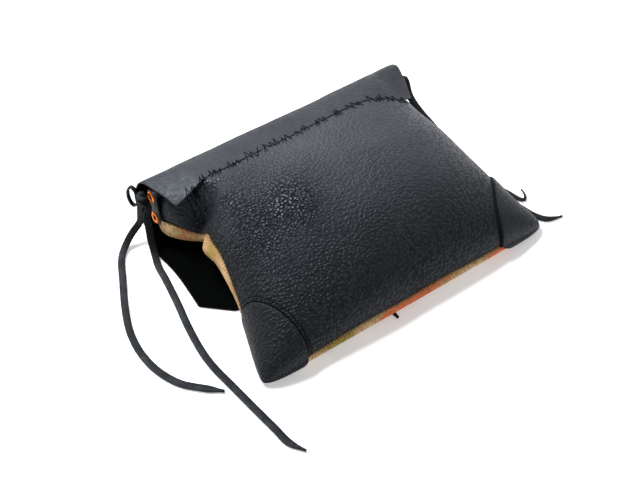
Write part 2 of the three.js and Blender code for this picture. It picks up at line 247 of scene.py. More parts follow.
def addMix(tree, factor, first, second):
    # one colour that turns into another
    node = addNode(tree, "ShaderNodeMix", {"data_type": "RGBA"})
    tree.links.new(factor, node.inputs["Factor"])
    node.inputs["A"].default_value = (*first, 1)
    node.inputs["B"].default_value = (*second, 1)
    return node.outputs["Result"]


def addBump(tree, shader, height, depth=1.0, strength=1.0):
    bump = addNode(tree, "ShaderNodeBump", Height=height, Strength=strength, Distance=depth * mm)
    tree.links.new(bump.outputs["Normal"], shader.inputs["Normal"])


def objectPlace(tree, turn=0.0, stretch=(1, 1, 1)):
    place = addNode(tree, "ShaderNodeTexCoord").outputs["Object"]
    if turn == 0 and stretch == (1, 1, 1):
        return place
    node = addNode(tree, "ShaderNodeMapping", Vector=place)
    node.inputs["Rotation"].default_value = (0, 0, turn)
    node.inputs["Scale"].default_value = stretch
    return node.outputs["Vector"]


# leathers: rounded pebbles between narrow creases, drawn out along the folds of the left side
backFinish = {
    "tone": (0.0042, 0.0048, 0.0062),
    # the paler tone, its rise and its drift below are painted sheen, the backdrop's reflection put into
    # the colour towards the mouth
    "paintedSheenTone": (0.0285, 0.0305, 0.0395),
    "paintedSheenRise": (-114, 30),
    "paintedSheenDrift": 20,
    # painted shade on the left side, where the painted sheen fades out
    "paintedShadeLeft": (-100, -130, 0.15),
    "specularTint": (0.80, 0.89, 1.0),
    "pebble": 2.9,
    "pebbleMelt": 0.1,
    "pebbleSide": (0.24, 0.66),
    "pebbleDepth": 0.8,
    "drift": 0.0008,
    "driftSize": 5,
    "creaseWidth": 0.13,
    "creaseDepth": 0.16,
    "dullCrease": (0.02, 0.24, 0.6),
    "pore": 0.7,
    "poreDepth": 0.06,
    "wrinkle": 2.6,
    "wrinkleDepth": 0.9,
    "swell": 24,
    "swellDepth": 0.4,
    "blotch": 60,
    "blotchStrength": (0.7, 1.15),
    "grainTurn": math.radians(36),
    "grainStretch": (0.8, 1.08, 0.95),
    "wrinkleStretch": (0.16, 1.0, 0.8),
    "roughTop": 0.35,
    "roughValley": 0.62,
    "gloss": (0.36, 0.66),
    "glossAtPaintedSheen": 0.8,
    "calmAlong": (30, 92, 0.34),
    "calmAcross": (10, 125, 0.5),
    "wrinkledSide": (-70, -128, 0.12),
    "boldAt": (-72, 8, 0),
    "boldReach": (10, 95),
    "boldStrength": (2.1, 0.7),
    "crestSheenCutAndShine": (0.15, 0.3),
}
patchFinish = dict(
    backFinish,
    tone=(0.008, 0.0085, 0.011),
    # painted sheen on the patches as well, paler towards the mouth
    paintedSheenTone=(0.016, 0.0165, 0.021),
    pebble=2.4,
    pebbleDepth=0.55,
    creaseDepth=0.10,
    wrinkleDepth=0.16,
    crestSheenCutAndShine=(0, 0),
    grainTurn=math.radians(-14),
    grainStretch=(0.62, 1.1, 1),
    roughTop=0.42,
    roughValley=0.58,
    calmAcross=(20, 110, 0.22),
)


def pebbledLeather(name, finish):
    material, tree, shader = newMaterial(name)
    plain = objectPlace(tree)
    place = objectPlace(tree, finish["grainTurn"], finish["grainStretch"])
    driftScale = 1 / (finish["driftSize"] * mm)
    drift = addNode(tree, "ShaderNodeTexNoise", Vector=place, Scale=driftScale, Detail=2.0)
    drifted = addNode(tree, "ShaderNodeMix", {"data_type": "VECTOR"})
    drifted.inputs["Factor"].default_value = finish["drift"]
    tree.links.new(place, drifted.inputs["A"])
    tree.links.new(drift.outputs["Color"], drifted.inputs["B"])
    cells = {"Vector": drifted.outputs["Result"], "Scale": 1 / (finish["pebble"] * mm)}
    pebbles = addNode(
        tree, "ShaderNodeTexVoronoi", {"feature": "SMOOTH_F1"}, Smoothness=finish["pebbleMelt"], **cells,
    )
    edges = addNode(tree, "ShaderNodeTexVoronoi", {"feature": "DISTANCE_TO_EDGE"}, **cells)
    domes = addRange(tree, pebbles.outputs["Distance"], *finish["pebbleSide"], 1.0, 0.0)
    creases = addRange(tree, edges.outputs["Distance"], 0.0, finish["creaseWidth"], 1.0, 0.0)
    dull = addRange(tree, edges.outputs["Distance"], *finish["dullCrease"], 0.0)
    pores = addNoise(tree, plain, finish["pore"], 2.0)
    swells = addNoise(tree, plain, finish["swell"], 1.0)
    blotches = addNoise(tree, plain, finish["blotch"], 1.0)

    # the grain fades towards the mouth, to the right and in blotches
    split = addNode(tree, "ShaderNodeSeparateXYZ", Vector=plain)
    low, high, share = finish["calmAlong"]
    strength = addRange(tree, split.outputs["Y"], low * mm, high * mm, 1.0, share)
    low, high, share = finish["calmAcross"]
    across = addRange(tree, split.outputs["X"], low * mm, high * mm, 1.0, share)
    strength = times(tree, strength, across)
    blotchy = addRange(tree, blotches, 0.3, 0.7, *finish["blotchStrength"])
    strength = times(tree, strength, blotchy)

    # it is boldest on the left of the crest
    flatPlace = addVectorMath(tree, "MULTIPLY", plain, (1, 1, 0)).outputs["Vector"]
    centre = [c * mm for c in finish["boldAt"]]
    away = addVectorMath(tree, "DISTANCE", flatPlace, centre).outputs["Value"]
    near, far = (reach * mm for reach in finish["boldReach"])
    bold = addRange(tree, away, near, far, *finish["boldStrength"])
    strength = times(tree, strength, bold)
    lively = addRange(tree, away, near, far, 1.0, 0.0)

    # parallel wrinkles where the left side is folded in
    folds = objectPlace(tree, finish["grainTurn"], finish["wrinkleStretch"])
    wrinkles = addNoise(tree, folds, finish["wrinkle"], 1.5)
    low, high, share = finish["wrinkledSide"]
    folded = addRange(tree, split.outputs["X"], low * mm, high * mm, share, 1.0)
    folded = times(tree, folded, finish["wrinkleDepth"])

    relief = times(tree, domes, finish["pebbleDepth"])
    relief = addMath(tree, "SUBTRACT", relief, times(tree, creases, finish["creaseDepth"]))
    relief = plus(tree, relief, times(tree, pores, finish["poreDepth"]))
    relief = times(tree, relief, strength)
    relief = plus(tree, relief, times(tree, wrinkles, folded))
    relief = plus(tree, relief, times(tree, swells, finish["swellDepth"]))
    addBump(tree, shader, relief)

    # painted sheen: the colour is paler towards the mouth, standing in for the backdrop's reflection, and
    # pebble tops smoother than the creases between them
    low, high = ((y + finish["paintedSheenDrift"] / 2) * mm for y in finish["paintedSheenRise"])
    paintedSheen = times(tree, blotches, finish["paintedSheenDrift"] * mm)
    paintedSheen = addRange(tree, plus(tree, split.outputs["Y"], paintedSheen), low, high, 0.0, 1.0)
    # painted shade: the painted sheen is cut back on the left side
    low, high, share = finish["paintedShadeLeft"]
    paintedShadeLeft = addRange(tree, split.outputs["X"], low * mm, high * mm, 1.0, share)
    paintedSheen = times(tree, paintedSheen, paintedShadeLeft)
    # near the crest the painted sheen is cut back, a painted shade, and the pebble tops there get more
    # gloss
    crestSheenCut, shinier = finish["crestSheenCutAndShine"]
    shaded = addMath(tree, "SUBTRACT", 1.0, times(tree, lively, crestSheenCut))
    shaded = times(tree, paintedSheen, shaded)
    shine = addMath(tree, "SUBTRACT", 1.0, times(tree, dull, strength, clamp=True))
    gloss = addRange(tree, paintedSheen, 0.0, finish["glossAtPaintedSheen"], *finish["gloss"])
    shine = times(tree, gloss, shine)
    polish = times(tree, times(tree, lively, domes), shinier)
    shine = times(tree, shine, plus(tree, 1.0, polish))
    dress(tree, shader, {
        "Base Color": addMix(tree, shaded, finish["tone"], finish["paintedSheenTone"]),
        "Roughness": addRange(tree, domes, 0.0, 1.0, finish["roughValley"], finish["roughTop"]),
        "Specular IOR Level": shine,
        "Specular Tint": (*finish["specularTint"], 1),
    })
    return material


smoothFinish = {
    "tone": (0.022, 0.0236, 0.0308),
    "paleTone": (0.030, 0.032, 0.0405),
    "rough": 0.5,
    "roughSpread": (-0.07, 0.1),
    "gloss": 0.38,
    "cloud": 28,
    "pore": 2.2,
    "poreDepth": 0.3,
    "crease": 6,
    "creaseDepth": 0.22,
}
laceFinish = dict(
    smoothFinish,
    tone=(0.0026, 0.0027, 0.0033),
    paleTone=(0.006, 0.0061, 0.0072),
    rough=0.56,
    gloss=0.28,
    pore=0.7,
    poreDepth=0.12,
)
tabFinish = dict(
    smoothFinish,
    tone=(0.02, 0.022, 0.027),
    paleTone=(0.045, 0.048, 0.057),
    rough=0.46,
    gloss=0.4,
    pore=0.9,
    poreDepth=0.12,
)


def smoothLeather(name, finish):
    material, tree, shader = newMaterial(name)
    place = objectPlace(tree)
    cloudy = addNoise(tree, place, finish["cloud"], 4.0)
    creases = addNoise(tree, place, finish["crease"], 5.0)
    pores = addNode(tree, "ShaderNodeTexVoronoi", Vector=place, Scale=1 / (finish["pore"] * mm))
    shade = addRange(tree, cloudy, 0.35, 0.7, 0.0, 1.0)
    smoother, rougher = (finish["rough"] + spread for spread in finish["roughSpread"])
    dress(tree, shader, {
        "Base Color": addMix(tree, shade, finish["tone"], finish["paleTone"]),
        "Roughness": addRange(tree, creases, 0.3, 0.7, smoother, rougher),
        "Specular IOR Level": finish["gloss"],
        "Specular Tint": (*backFinish["specularTint"], 1),
    })
    grain = times(tree, pores.outputs["Distance"], finish["poreDepth"])
    creased = times(tree, creases, finish["creaseDepth"])
    addBump(tree, shader, plus(tree, grain, creased))
    return material


# suede side of the flap: its near-black tone is partly the suede's own dark colour and partly painted
# shade, for where the flap lies under the bag
suedeAndShadeFinish = {
    "tone": (0.0006, 0.001, 0.0011),
    "paleTone": (0.0016, 0.0022, 0.0024),
    "nap": 1.2,
    "napDepth": 0.3,
    "napStrength": 0.7,
    "brushed": 24,
    "rough": 0.95,
    "gloss": 0.04,
}


def suedeSide(name, finish):
    material, tree, shader = newMaterial(name)
    place = objectPlace(tree)
    nap = addNoise(tree, place, finish["nap"], 4.0)
    brushed = addNoise(tree, place, finish["brushed"], 2.0)
    shade = times(tree, nap, brushed)
    dress(tree, shader, {
        "Base Color": addRamp(tree, shade, [(0.15, finish["tone"]), (0.5, finish["paleTone"])]),
        "Roughness": finish["rough"],
        "Specular IOR Level": finish["gloss"],
    })
    addBump(tree, shader, nap, finish["napDepth"], finish["napStrength"])
    return material


# painted front: broad fields of plain colour with brushed edges
paintFinish = {
    "cream": (0.60, 0.36, 0.15),
    "paleCream": (0.76, 0.53, 0.27),
    "orange": (0.80, 0.17, 0.035),
    "ochre": (0.36, 0.27, 0.02),
    "rough": 0.62,
    "field": 62,
    "shift": (45, 0, 20),
    "brushedEdge": 0.08,
    "streak": 5,
    "streakTurn": 0.3,
    "streakStretch": (0.25, 1, 1),
    "streakDepth": 0.35,
    "fibre": 1.5,
    "fibreTone": (0.60, 0.52, 0.44),
    "fibreTurn": 0.9,
    "fibreStretch": (1, 0.12, 0.3),
    "grain": 1.3,
    "grainDepth": 0.18,
}


def paintedLeather(name, finish):
    material, tree, shader = newMaterial(name)
    place = objectPlace(tree)
    shifted = addNode(tree, "ShaderNodeMapping", Vector=place)
    shifted.inputs["Location"].default_value = [c * mm for c in finish["shift"]]
    fields = addNoise(tree, shifted.outputs["Vector"], finish["field"], 0.5)
    along = objectPlace(tree, finish["streakTurn"], finish["streakStretch"])
    streaks = addNoise(tree, along, finish["streak"], 4.0)
    edge = plus(tree, fields, times(tree, streaks, finish["brushedEdge"]))
    colour = addRamp(tree, edge, [
        (0.36, finish["ochre"]), (0.39, finish["cream"]), (0.5, finish["paleCream"]),
        (0.58, finish["cream"]), (0.60, finish["orange"]), (0.8, finish["orange"]),
    ])
    across = objectPlace(tree, finish["fibreTurn"], finish["fibreStretch"])
    fibres = addNoise(tree, across, finish["fibre"], 3.0)
    shade = addNode(tree, "ShaderNodeMix", {"data_type": "RGBA", "blend_type": "MULTIPLY"})
    shade.inputs["Factor"].default_value = 1.0
    tree.links.new(colour, shade.inputs["A"])
    tree.links.new(addRamp(tree, fibres, [(0.36, finish["fibreTone"]), (0.5, 1.0)]), shade.inputs["B"])
    dress(tree, shader, {"Base Color": shade.outputs["Result"], "Roughness": finish["rough"]})
    grain = addNode(tree, "ShaderNodeTexVoronoi", Vector=place, Scale=1 / (finish["grain"] * mm))
    relief = times(tree, grain.outputs["Distance"], finish["grainDepth"])
    streaked = times(tree, streaks, finish["streakDepth"])
    addBump(tree, shader, plus(tree, relief, streaked))
    return material


threadFinish = {
    "tone": (0.0035, 0.0035, 0.004),
    "seamTone": (0.5, 0.33, 0.17),
    "shades": (0.6, 1.4),
    "twist": 0.9,
    "twistDepth": 0.3,
    "twistStrength": 0.5,
    "rough": 0.7,
    "gloss": 0.12,
}


def waxedThread(name, tone):
    material, tree, shader = newMaterial(name)
    strands = addNoise(tree, objectPlace(tree), threadFinish["twist"], 3.0)
    dark, pale = ([c * shade for c in tone] for shade in threadFinish["shades"])
    dress(tree, shader, {
        "Base Color": addMix(tree, strands, dark, pale),
        "Roughness": threadFinish["rough"],
        "Specular IOR Level": threadFinish["gloss"],
    })
    addBump(tree, shader, strands, threadFinish["twistDepth"], threadFinish["twistStrength"])
    return material


copperFinish = {
    "tone": (1.0, 0.28, 0.025),
    "dullTone": (0.9, 0.19, 0.02),
    "darkTone": (0.09, 0.02, 0.012),
    "metallic": 0.92,
    "darkMetallic": 0.3,
    "scuff": 2.5,
    "rough": (0.42, 0.26),
}


def copperMetal(name, tone, dullTone, metallic):
    material, tree, shader = newMaterial(name)
    scuffs = addNoise(tree, objectPlace(tree), copperFinish["scuff"], 4.0)
    dress(tree, shader, {
        "Base Color": addRamp(tree, scuffs, [(0.35, dullTone), (0.55, tone)]),
        "Roughness": addRange(tree, scuffs, 0.3, 0.7, *copperFinish["rough"]),
        "Metallic": metallic,
    })
    return material


backLeather = pebbledLeather("backLeather", backFinish)
patchLeather = pebbledLeather("patchLeather", patchFinish)
flapLeather = smoothLeather("flapLeather", smoothFinish)
laceLeather = smoothLeather("laceLeather", laceFinish)
tabLeather = smoothLeather("tabLeather", tabFinish)
flapSuede = suedeSide("flapSuede", suedeAndShadeFinish)
frontPaint = paintedLeather("frontPaint", paintFinish)
blackThread = waxedThread("blackThread", threadFinish["tone"])
seamThread = waxedThread("seamThread", threadFinish["seamTone"])
copper = copperMetal("copper", copperFinish["tone"], copperFinish["dullTone"], copperFinish["metallic"])
darkCopper = copperMetal(
    "darkCopper", copperFinish["darkTone"], copperFinish["darkTone"], copperFinish["darkMetallic"],
)
print("materials made")


# outline of the pouch in plan, pinched deeper on the left where the side is folded in
pouch = {
    "bottomWidth": 330,
    "waistLeft": 123,
    "waistRight": 139,
    "mouthWidth": 288,
    "bottomY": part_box("back_panel")[0].y / mm,
    "mouthY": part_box("back_panel")[1].y / mm,
    "waistFromMouth": 72,
    "waistRise": 0.7,
    "flareBend": 1.45,
    "crestFromMouth": 102,
    "tipRounding": 6,
    "tipBend": 12,
    "crestHeight": 80,
    "crestBend": 1.6,
    "crownFlatness": (2.6, 14, 2.5),
    "endFlatness": {"back": 1.6, "front": 5},
    "mouthBackHeight": 58.5,
    "mouthFrontHeight": 20.5,
    "seamCorner": 4.5,
    "seamCornerBend": 4,
    "seamBottom": 14,
    "seamSide": 40,
    "seamMouth": 29,
    "seamLowRun": 20,
    "bellyDepth": 12,
    "sideSwell": 9,
    "bottomSwell": 5,
    "bottomSwellBend": 6,
    "swellPeak": 1.6,
    "drapeFromMouth": 64,
    "drapeBend": 1.2,
    "tabFoot": 87.85,
    "patchAlongSide": 69,
    "leather": 2,
    "gap": 0.3,
    "columns": 96,
    "rows": 72,
}
pouch["waistY"] = pouch["mouthY"] - pouch["waistFromMouth"]
pouch["crestY"] = pouch["mouthY"] - pouch["crestFromMouth"]
pouch["drapeY"] = pouch["mouthY"] - pouch["drapeFromMouth"]


def aboveWaist(y):
    return smoothStep(y, pouch["waistY"], pouch["waistY"] + pouch["waistRise"] * pouch["waistFromMouth"])


def halfWidth(y, handed):
    waist = pouch["waistLeft"] if handed < 0 else pouch["waistRight"]
    below = max(0, (pouch["waistY"] - y) / (pouch["waistY"] - pouch["bottomY"]))
    flare = (pouch["bottomWidth"] / 2 - waist) * below ** pouch["flareBend"]
    return waist + flare + (pouch["mouthWidth"] / 2 - waist) * aboveWaist(y)


def sideSwellAt(y):
    along = smoothStep(y, pouch["bottomY"] + pouch["patchAlongSide"] / 2, pouch["waistY"])
    return pouch["sideSwell"] * along * (1 - smoothStep(y, pouch["waistY"], pouch["tabFoot"]))


# laces: flat strips that leave a knot at each end of the mouth
laces = {
    "width": 7,
    "thickness": 2.2,
    "sections": 12,
    "step": 3,
    "sideReach": 167.3,
    "level": 1.4,
    "knotReach": 6.05,
    "lane": 8.2,
    "tails": {
        "lace_left_tail_outer": {
            "handed": -1,
            "lane": 1,
            "lying": [
                (25, -99, 0), (39, -85, 0), (52, -70, 0), (61, -47, 0), (63.5, -22, 0), (60, 4, 0),
                (50, 32, 0), (36, 62, 0), (23, 88, 0.3), (13.5, 97.5, 2.6),
            ],
            "hanging": [(18.6, 3, 0.21), (12, 2.2, 0.32), (6.5, 2.8, 0.46), (4.8, 1.8, 0.62)],
            "leaving": (0.3, -0.1, -0.95),
            "tip": (16, 0.35),
        },
        "lace_left_tail_inner": {
            "handed": -1,
            "lane": 0,
            "lying": [
                (2, -188, 0), (9, -174, 0), (11, -155, 0), (13.7, -130, 0), (16.7, -99, 0), (19.2, -72, 0),
                (18.7, -51, 0), (14.2, -20, 0), (7.7, 11, 0), (2.2, 42, 0), (0.2, 58, 1.8),
            ],
            "hanging": [(10, 33, 0.15), (7, 22.5, 0.33), (4, 15, 0.53), (2, 10, 0.72)],
            "leaving": (-0.15, -0.75, -0.65),
            "tip": (18, 0.3),
        },
        "lace_right_tail_inner": {
            "handed": 1,
            "lane": 0,
            "lying": [
                (23.2, -115, 0), (14.7, -112.5, 0), (6.7, -108, 0), (0.7, -97, 0), (-2.8, -80, 0),
                (-8, -60, 0), (-13, -45, 0), (-15, -32, 2), (-14.8, -16, 3.4), (-14.8, -4, 4.2),
                (-15.3, 12, 5.6), (-14.3, 28, 10.8),
            ],
            "hanging": [(0.8, 58.6, 0.45), (0.4, 38.6, 0.61), (0.6, 18, 0.76)],
            "leaving": (-0.15, -0.75, -0.65),
            "tip": (20, 0.2),
        },
        "lace_right_tail_outer": {
            "handed": 1,
            "lane": 1,
            "lying": [
                (15.7, -64, 0), (13.2, -72, 0), (8, -76.5, 0), (4.2, -71.5, 0), (0.4, -58, 0),
                (-3.8, -46, 0.6), (-5.8, -30, 3), (-5.8, -5, 3.2), (-5.3, 14, 3.4), (-5.3, 31, 5.6),
            ],
            "hanging": [(6, 54.6, 0.31), (6.5, 34, 0.46), (7.5, 14, 0.62)],
            "leaving": (0.85, -0.05, -0.5),
            "tip": (34, 0.15),
        },
    },
}


def tailRoute(tail, knot):
    # from the tip on the floor up to the knot, clear of the pouch's side
    reach = pouch["leather"] + (tail["lane"] + 0.5) * laces["lane"]

    def beside(y):
        return 0 if y < pouch["bottomY"] else halfWidth(y, tail["handed"]) + reach

    route = []
    for out, y, over in tail["lying"]:
        route.append(Vector((max(laces["sideReach"] + out, beside(y)), y, laces["level"] + over)))
    for out, down, share in tail["hanging"]:
        y = knot.y - down
        route.append(Vector((max(knot.x + out, beside(y) + sideSwellAt(y)), y, knot.z * share)))
    away = Vector(tail["leaving"]).normalized()
    route += [knot + away * laces["knotReach"] * share for share in (2, 1)]
    return [Vector((p.x * tail["handed"], p.y, p.z)) for p in route]


def laceFrames(line, width, thickness, tipLength=0.0, tipWidth=1.0, side=None):
    # one placing matrix for each point of the line, with the lace's section in its first two axes
    frames = []
    travelled = 0
    for i, point in enumerate(line):
        ahead = line[min(i + 1, len(line) - 1)]
        behind = line[max(i - 1, 0)]
        tangent = (ahead - behind).normalized()
        if side is None:
            side = tangent.cross(Vector((0, 0, 1)))
        side = (side - tangent * side.dot(tangent)).normalized()
        face = side.cross(tangent)
        if i > 0:
            travelled += (point - line[i - 1]).length
        share = lerp(tipWidth, 1, smoothStep(travelled, 0, tipLength)) if tipLength else 1
        turn = Matrix((side * width / 2 * share, face * thickness / 2, tangent)).transposed().to_4x4()
        frames.append(Matrix.Translation(point) @ turn)
    return frames


def sweepStrip(bm, frames, sections, squareness=0.4):
    # a round-cornered strip or, with a squareness of 1, a round cord, extruded from frame to frame
    ring = bmesh.ops.create_circle(bm, segments=sections, radius=1)["verts"]
    for vert in ring:
        vert.co.x = math.copysign(abs(vert.co.x) ** squareness, vert.co.x)
        vert.co.y = math.copysign(abs(vert.co.y) ** squareness, vert.co.y)
    bmesh.ops.transform(bm, matrix=frames[0], verts=ring)
    edges = list(dict.fromkeys(e for v in ring for e in v.link_edges))
    first = edges
    for last, here in zip(frames, frames[1:]):
        grown = bmesh.ops.extrude_edge_only(bm, edges=edges)["geom"]
        edges = [g for g in grown if isinstance(g, bmesh.types.BMEdge)]
        moved = [g for g in grown if isinstance(g, bmesh.types.BMVert)]
        bmesh.ops.transform(bm, matrix=here @ last.inverted(), verts=moved)
        edges = [e for e in edges if all(v in set(moved) for v in e.verts)]
    bmesh.ops.holes_fill(bm, edges=first, sides=0)
    bmesh.ops.holes_fill(bm, edges=edges, sides=0)


def toMetres(bm):
    bmesh.ops.recalc_face_normals(bm, faces=bm.faces[:])
    bmesh.ops.scale(bm, vec=(mm, mm, mm), verts=bm.verts[:])
    return bm


def faceToward(bm, direction):
    bmesh.ops.recalc_face_normals(bm, faces=bm.faces[:])
    if sum(f.normal.dot(direction) for f in bm.faces) < 0:
        bmesh.ops.reverse_faces(bm, faces=bm.faces[:])


def sweepLace(frames, sections):
    bm = bmesh.new()
    sweepStrip(bm, frames, sections)
    return toMetres(bm)


def sweepThread(bm, points, radius, sections, side=(0, 0, 1)):
    frames = laceFrames(points, 2 * radius, 2 * radius, side=Vector(side))
    sweepStrip(bm, frames, sections, 1)


def spinProfile(bm, profile, steps, closed=False):
    # a profile of radii and heights, turned once round the z axis
    verts = [bm.verts.new((radius, 0, height)) for radius, height in profile]
    ends = verts[1:] + verts[:1] if closed else verts[1:]
    edges = [bm.edges.new(pair) for pair in zip(verts, ends)]
    bmesh.ops.spin(
        bm, geom=verts + edges, cent=(0, 0, 0), axis=(0, 0, 1), angle=2 * math.pi, steps=steps,
        use_merge=True,
    )


def addLace(name, node, route, body, tipLength, tipWidth):
    line = evenly(curveThrough(route), laces["step"])
    frames = laceFrames(line, laces["width"], laces["thickness"], tipLength, tipWidth)
    piece = makePiece(name, sweepLace(frames, laces["sections"]), laceLeather)
    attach(piece, body)
    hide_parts(node)


rightKnot = nodeCentre("lace_knot_right")
for node, tail in laces["tails"].items():
    addLace(node + "_strip", node, tailRoute(tail, rightKnot), "bag", *tail["tip"])
print("laces laid:", len(laces["tails"]))

tie = {"offset": -21, "length": 91, "tip": (16, 0.35)}


def addTie():
    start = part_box("flap_tie")[1].y / mm
    route = [
        Vector((tie["offset"], start - tie["length"] * share, laces["level"]))
        for share in (1, 0.75, 0.5, 0.25, 0)
    ]
    addLace("flap_tie_strip", "flap_tie", route, "flap", *tie["tip"])


addTie()
print("flap tie laid")


# knot and standing loop of each lace
knots = {
    "wraps": 2.6,
    "wrapSteps": 60,
    "radius": 3.3,
    "tightening": 0.45,
    "height": 8,
    "sections": 8,
    "bandWidth": 4.2,
    "bandThickness": 2.0,
    "loopBand": 4.4,
    "loopThickness": 2.0,
    "loopSag": (2.5, -2.5, -2.5),
    "loopAcross": 5.0,
    "loopUp": 12,
    "loopTurn": math.radians(58),
    "loopOpening": math.radians(16),
    "loopRoot": 2,
    "loopSteps": 36,
    "loopSpacing": 1.6,
    "tuck": {"left": (1.0, (0, 0, 0)), "right": (0.72, (-2.5, 1, -3))},
}


def addKnot(label, handed):
    size, shift = knots["tuck"][label]
    centre = nodeCentre("lace_knot_" + label) + Vector(shift)
    line = []
    for i in range(knots["wrapSteps"] + 1):
        share = i / knots["wrapSteps"]
        turn = share * knots["wraps"] * 2 * math.pi
        radius = size * knots["radius"] * lerp(knots["tightening"], 1, math.sin(math.pi * share) ** 0.5)
        height = size * knots["height"] * (share - 0.5)
        line.append(centre + Vector((math.cos(turn) * radius * handed, math.sin(turn) * radius, height)))
    width, thickness = size * knots["bandWidth"], size * knots["bandThickness"]
    frames = laceFrames(line, width, thickness, side=Vector((0, 0, 1)))
    piece = makePiece("lace_knot_%s_wrap" % label, sweepLace(frames, knots["sections"]), laceLeather)
    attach(piece, "bag")
    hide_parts("lace_knot_" + label)


def addLoop(label, handed):
    # a teardrop that leaves the knot and comes back to it
    shift = Vector(knots["tuck"][label][1])
    knot = nodeCentre("lace_knot_" + label) + shift
    centre = nodeCentre("lace_loop_" + label) + shift
    if handed < 0:
        centre += Vector(knots["loopSag"])
    across = Vector((math.cos(knots["loopTurn"]) * handed, math.sin(knots["loopTurn"]), 0))
    upward = Vector((0, 0, 1))
    wide, tall = knots["loopAcross"], knots["loopUp"]
    if handed > 0:  # this one hangs from its knot
        across = (centre - knot).normalized()
        upward = across.cross(Vector((0, 0, 1))).normalized()
        wide, tall = tall, wide
    root = knot + across * knots["loopRoot"]
    line = [root]
    opening = knots["loopOpening"]
    for i in range(knots["loopSteps"] + 1):
        turn = math.pi + lerp(opening, 2 * math.pi - opening, i / knots["loopSteps"])
        line.append(centre + across * math.cos(turn) * wide + upward * math.sin(turn) * tall)
    line.append(root)
    line = evenly(curveThrough(line, 4), knots["loopSpacing"])
    frames = laceFrames(line, knots["loopBand"], knots["loopThickness"], side=upward.cross(across))
    piece = makePiece("lace_loop_%s_band" % label, sweepLace(frames, knots["sections"]), laceLeather)
    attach(piece, "bag")
    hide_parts("lace_loop_" + label)


for label, handed in (("left", -1), ("right", 1)):
    addKnot(label, handed)
    addLoop(label, handed)
print("knots tied")


# the flap, sewn to the back along an edge that dips at both ends
flap = {
    "leather": 1.8,
    "stripWidth": 32,
    "startWidth": 52,
    "leftFold": 154,
    "leftLower": 136.5,
    "leftDip": (86, 138, 10),
    "rightFold": 161,
    "rightLower": 137,
    "rightDip": (80, 134, 15),
    "rightRounding": 11,
    "roundingFrom": 0.6,
    "leftBulge": (0.48, 0.16, 5),
    "endWidth": 324,
    "widening": 2,
    "straightWidth": 272,
    "endY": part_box("flap")[0].y / mm,
    "cornerCut": 25,
    "foldReach": 11,
    "flatFrom": 1.06,
    "lineSpacing": 0.5,
    "rowBend": 1.25,
    "foldEndSlope": 0.02,
    "stripEndSlope": 0.22,
    "leftFreeEnd": 27,
    "rightFreeEnd": 17,
    "lidGap": 0.15,
    "skivedEdge": 0.3,
    "skivedPart": 0.55,
    "bed": 3.4,
    "bedMargin": 20,
    "columns": 88,
    "rows": 96,
}
flap["stripY"] = pouch["mouthY"] - flap["stripWidth"]


# skin of the pouch, bedded on the flap and the tie

def seamHeight(u, y):
    bottom = lerp(pouch["seamBottom"], pouch["seamCorner"], abs(u) ** pouch["seamCornerBend"])
    upSide = smoothStep(y, pouch["bottomY"] + pouch["seamLowRun"], pouch["waistY"])
    return lerp(lerp(bottom, pouch["seamSide"], upSide), pouch["seamMouth"], aboveWaist(y))


def aboveCrest(y):
    return max(0, (y - pouch["crestY"]) / pouch["crestFromMouth"])


def backPeak(y):
    return lerp(pouch["crestHeight"], pouch["mouthBackHeight"], aboveCrest(y) ** pouch["crestBend"])


def frontLow(y):
    towardMouth = max(0, (y - pouch["drapeY"]) / (pouch["mouthY"] - pouch["drapeY"]))
    return lerp(-pouch["bellyDepth"], pouch["mouthFrontHeight"], towardMouth ** pouch["drapeBend"])


def fromCrest(y):
    return min(1, max(0, (pouch["crestY"] - y) / (pouch["crestY"] - pouch["bottomY"])))


def fullness(side, u, y):
    atCrest, atMouth, bend = pouch["crownFlatness"]
    flatness = lerp(atCrest, atMouth, aboveCrest(y) ** bend)
    across = math.sqrt(max(0, 1 - abs(u) ** flatness))
    endFlatness = pouch["endFlatness"]["back" if side > 0 else "front"]
    return across * math.sqrt(max(0, 1 - fromCrest(y) ** endFlatness))


def swelling(full):
    return math.sin(math.pi * min(1, pouch["swellPeak"] * full))


def bedUnderFront(x, y):
    margin = flap["bedMargin"]
    overFlap = smoothStep(y, flap["endY"] - 2 * margin, flap["endY"] - margin)
    tieBed = laces["width"] / 2 + margin
    overTie = 1 - smoothStep(abs(x - tie["offset"]), tieBed, tieBed + margin)
    return flap["bed"] * max(overFlap, overTie)


def skinPoint(side, u, y, grow):
    # side is 1 on the back and -1 on the front, u runs from seam to seam
    lower = fromCrest(y)
    tip = pouch["tipRounding"] * abs(u) ** pouch["tipBend"] * lower ** pouch["tipBend"]
    x = (halfWidth(y, u) + grow) * u - math.copysign(1, u) * tip
    grownY = y - grow * lower + tip
    seam = seamHeight(u, y)
    full = fullness(side, u, y)
    if side > 0:
        return Vector((x, grownY, seam + pouch["gap"] / 2 + (backPeak(y) - seam + grow) * full))
    belly = seam - pouch["gap"] / 2 - (seam - frontLow(y) + grow) * full
    bed = max(0, bedUnderFront(x, y) - grow)
    out = pouch["bottomSwell"] * lower ** pouch["bottomSwellBend"] * swelling(full)
    swell = sideSwellAt(y) * math.copysign(1, u) * swelling(full)
    return Vector((x + swell, grownY - out, max(belly, bed)))


def backHeight(x, y):
    return skinPoint(1, max(-1, min(1, x / halfWidth(y, x))), y, 0).z


